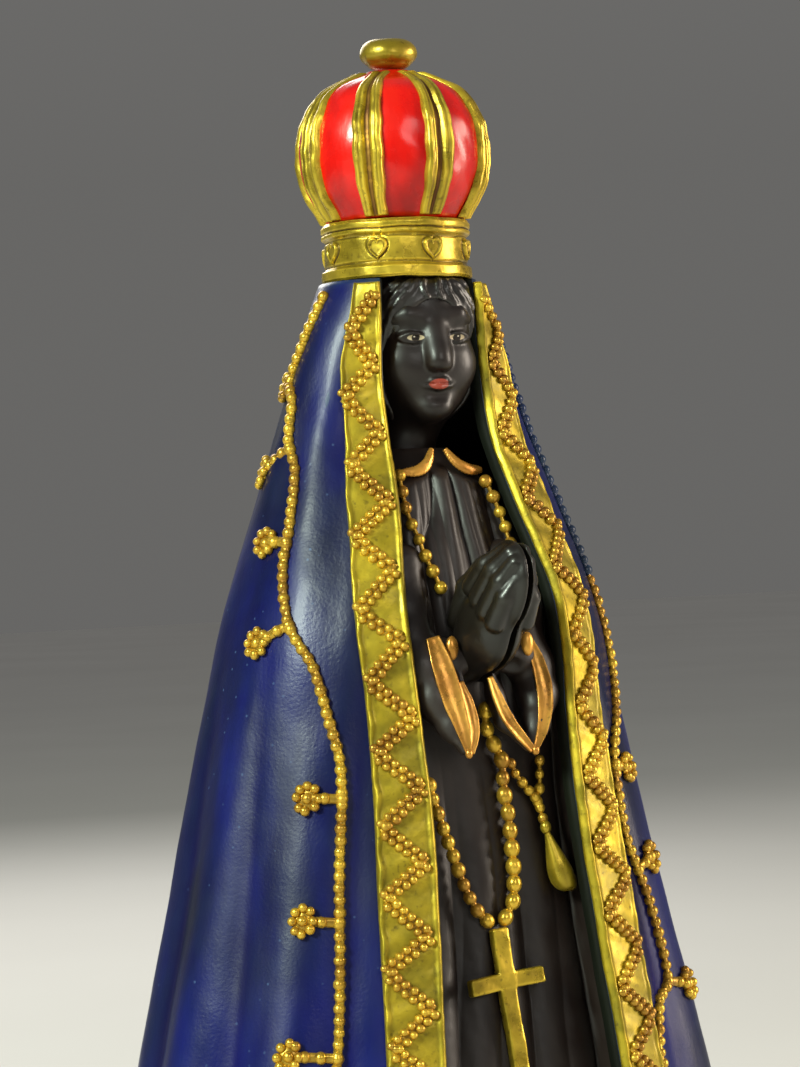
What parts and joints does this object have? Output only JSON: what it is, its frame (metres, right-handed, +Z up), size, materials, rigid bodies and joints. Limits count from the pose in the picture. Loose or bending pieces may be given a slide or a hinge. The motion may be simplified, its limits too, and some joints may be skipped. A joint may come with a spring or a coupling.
{
  "type": "madonna statue",
  "caption": "Painted cast devotional figure in a long open mantle, praying hands and rosary, on an oval plinth, with a bulbous lift-off crown.",
  "frame": {"origin": "centre of the felt pad's underside", "axes": "+Z up, the figure faces -Y, +X is the figure's own left"},
  "size_m": [0.16, 0.1216, 0.3],
  "materials": {
    "felt": "matt felt",
    "base_paint": "painted plaster, satin",
    "steel": "plain",
    "wood": "raw dowel",
    "dark_paint": "painted plaster, satin dark brown",
    "skin_paint": "painted plaster, satin near black",
    "hair_paint": "painted plaster, satin black",
    "blue_paint": "painted plaster, glossy deep blue",
    "gold_paint": "painted plaster, metallic gold",
    "red_paint": "painted plaster, glossy red"
  },
  "bodies": {
    "figure": {"border_braid_left": "gold_paint", "border_braid_right": "gold_paint", "border_left": "gold_paint", "border_right": "gold_paint", "collar_left": "gold_paint", "collar_right": "gold_paint", "crown_peg": "wood", "cuff_left": "gold_paint", "cuff_right": "gold_paint", "felt_pad": "felt", "gown": "dark_paint", "hair": "hair_paint", "hand_left": "skin_paint", "hand_right": "skin_paint", "head": "skin_paint", "mantle": "blue_paint", "neck_beads_left": "gold_paint", "neck_beads_right": "gold_paint", "neck_dowel": "wood", "pendant_chain": "gold_paint", "pendant_drop": "gold_paint", "plinth": "base_paint", "plinth_screw": "steel", "rosary_beads_left": "gold_paint", "rosary_beads_right": "gold_paint", "rosary_cross": "gold_paint", "scallop_trim_left": "gold_paint", "scallop_trim_right": "gold_paint", "sleeve_left": "dark_paint", "sleeve_right": "dark_paint"},
    "crown": {"crown_band": "gold_paint", "crown_cap": "red_paint", "crown_knob": "gold_paint", "crown_rib_1": "gold_paint", "crown_rib_2": "gold_paint", "crown_rib_3": "gold_paint", "crown_rib_4": "gold_paint", "crown_rib_5": "gold_paint", "crown_rib_6": "gold_paint", "crown_rib_7": "gold_paint", "crown_rib_8": "gold_paint"}
  },
  "joints": [
    {"name": "crown_lift", "type": "slide", "parent": "figure", "child": "crown", "axis": [0, 0, 1], "range_m": [0, 0.06]}
  ]
}
